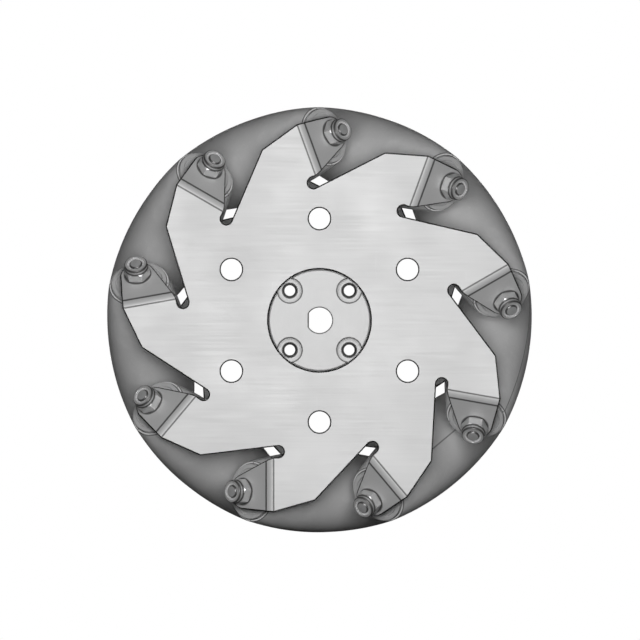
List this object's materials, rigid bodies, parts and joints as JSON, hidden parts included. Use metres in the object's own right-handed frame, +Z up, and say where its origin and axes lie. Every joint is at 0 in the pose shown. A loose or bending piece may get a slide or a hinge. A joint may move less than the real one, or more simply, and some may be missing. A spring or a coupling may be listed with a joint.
{
  "type": "mecanum wheel",
  "caption": "Omnidirectional mecanum wheel: barrel rollers at 45 degrees, carried on bolts between two bent sheet metal plates, with a flanged D-bore hub.",
  "frame": {"origin": "middle of the wheel, on its axis, halfway between the two hub faces", "axes": "+Y along the wheel's axis, from the front (nut side, D-bore hub flange) to the rear; +Z up; the first roller is straight below the origin"},
  "size_m": [0.1002, 0.05, 0.1003],
  "materials": {
    "plate_metal": "satin, light grey sheet",
    "spool_metal": "turned, satin",
    "hub_metal": "turned, satin",
    "bolt_steel": "zinc plated",
    "nut_steel": "zinc plated",
    "insert_nylon": "nylon",
    "washer_nylon": "nylon",
    "tyre_rubber": "matt moulded rubber",
    "core_nylon": "moulded nylon",
    "bush_bronze": "sintered bronze"
  },
  "bodies": {
    "root": {"front_plate": "plate_metal", "rear_plate": "plate_metal", "hub_core": "spool_metal", "drive_hub": "hub_metal", "axle_bolts": "bolt_steel", "lock_nuts": "nut_steel", "nut_inserts": "insert_nylon", "front_thrust_washers": "washer_nylon", "rear_thrust_washers": "washer_nylon"},
    "roller_1": {"roller_1_tyre": "tyre_rubber", "roller_1_core": "core_nylon", "roller_1_bushes": "bush_bronze"},
    "roller_2": {"roller_2_tyre": "tyre_rubber", "roller_2_core": "core_nylon", "roller_2_bushes": "bush_bronze"},
    "roller_3": {"roller_3_tyre": "tyre_rubber", "roller_3_core": "core_nylon", "roller_3_bushes": "bush_bronze"},
    "roller_4": {"roller_4_tyre": "tyre_rubber", "roller_4_core": "core_nylon", "roller_4_bushes": "bush_bronze"},
    "roller_5": {"roller_5_tyre": "tyre_rubber", "roller_5_core": "core_nylon", "roller_5_bushes": "bush_bronze"},
    "roller_6": {"roller_6_tyre": "tyre_rubber", "roller_6_core": "core_nylon", "roller_6_bushes": "bush_bronze"},
    "roller_7": {"roller_7_tyre": "tyre_rubber", "roller_7_core": "core_nylon", "roller_7_bushes": "bush_bronze"},
    "roller_8": {"roller_8_tyre": "tyre_rubber", "roller_8_core": "core_nylon", "roller_8_bushes": "bush_bronze"},
    "roller_9": {"roller_9_tyre": "tyre_rubber", "roller_9_core": "core_nylon", "roller_9_bushes": "bush_bronze"}
  },
  "joints": [
    {"name": "roller_1_spin", "type": "hinge", "parent": "root", "child": "roller_1", "pos_m": [0, 0, -0.0404], "axis": [-0.7071, -0.7071, 0], "continuous": true},
    {"name": "roller_2_spin", "type": "hinge", "parent": "root", "child": "roller_2", "pos_m": [0.02597, 0, -0.03095], "axis": [-0.5417, -0.7071, -0.4545], "continuous": true},
    {"name": "roller_3_spin", "type": "hinge", "parent": "root", "child": "roller_3", "pos_m": [0.03979, 0, -0.00702], "axis": [-0.1228, -0.7071, -0.6964], "continuous": true},
    {"name": "roller_4_spin", "type": "hinge", "parent": "root", "child": "roller_4", "pos_m": [0.03499, 0, 0.0202], "axis": [0.3536, -0.7071, -0.6124], "continuous": true},
    {"name": "roller_5_spin", "type": "hinge", "parent": "root", "child": "roller_5", "pos_m": [0.01382, 0, 0.03796], "axis": [0.6645, -0.7071, -0.2418], "continuous": true},
    {"name": "roller_6_spin", "type": "hinge", "parent": "root", "child": "roller_6", "pos_m": [-0.01382, 0, 0.03796], "axis": [0.6645, -0.7071, 0.2418], "continuous": true},
    {"name": "roller_7_spin", "type": "hinge", "parent": "root", "child": "roller_7", "pos_m": [-0.03499, 0, 0.0202], "axis": [0.3536, -0.7071, 0.6124], "continuous": true},
    {"name": "roller_8_spin", "type": "hinge", "parent": "root", "child": "roller_8", "pos_m": [-0.03979, 0, -0.00702], "axis": [-0.1228, -0.7071, 0.6964], "continuous": true},
    {"name": "roller_9_spin", "type": "hinge", "parent": "root", "child": "roller_9", "pos_m": [-0.02597, 0, -0.03095], "axis": [-0.5417, -0.7071, 0.4545], "continuous": true}
  ]
}
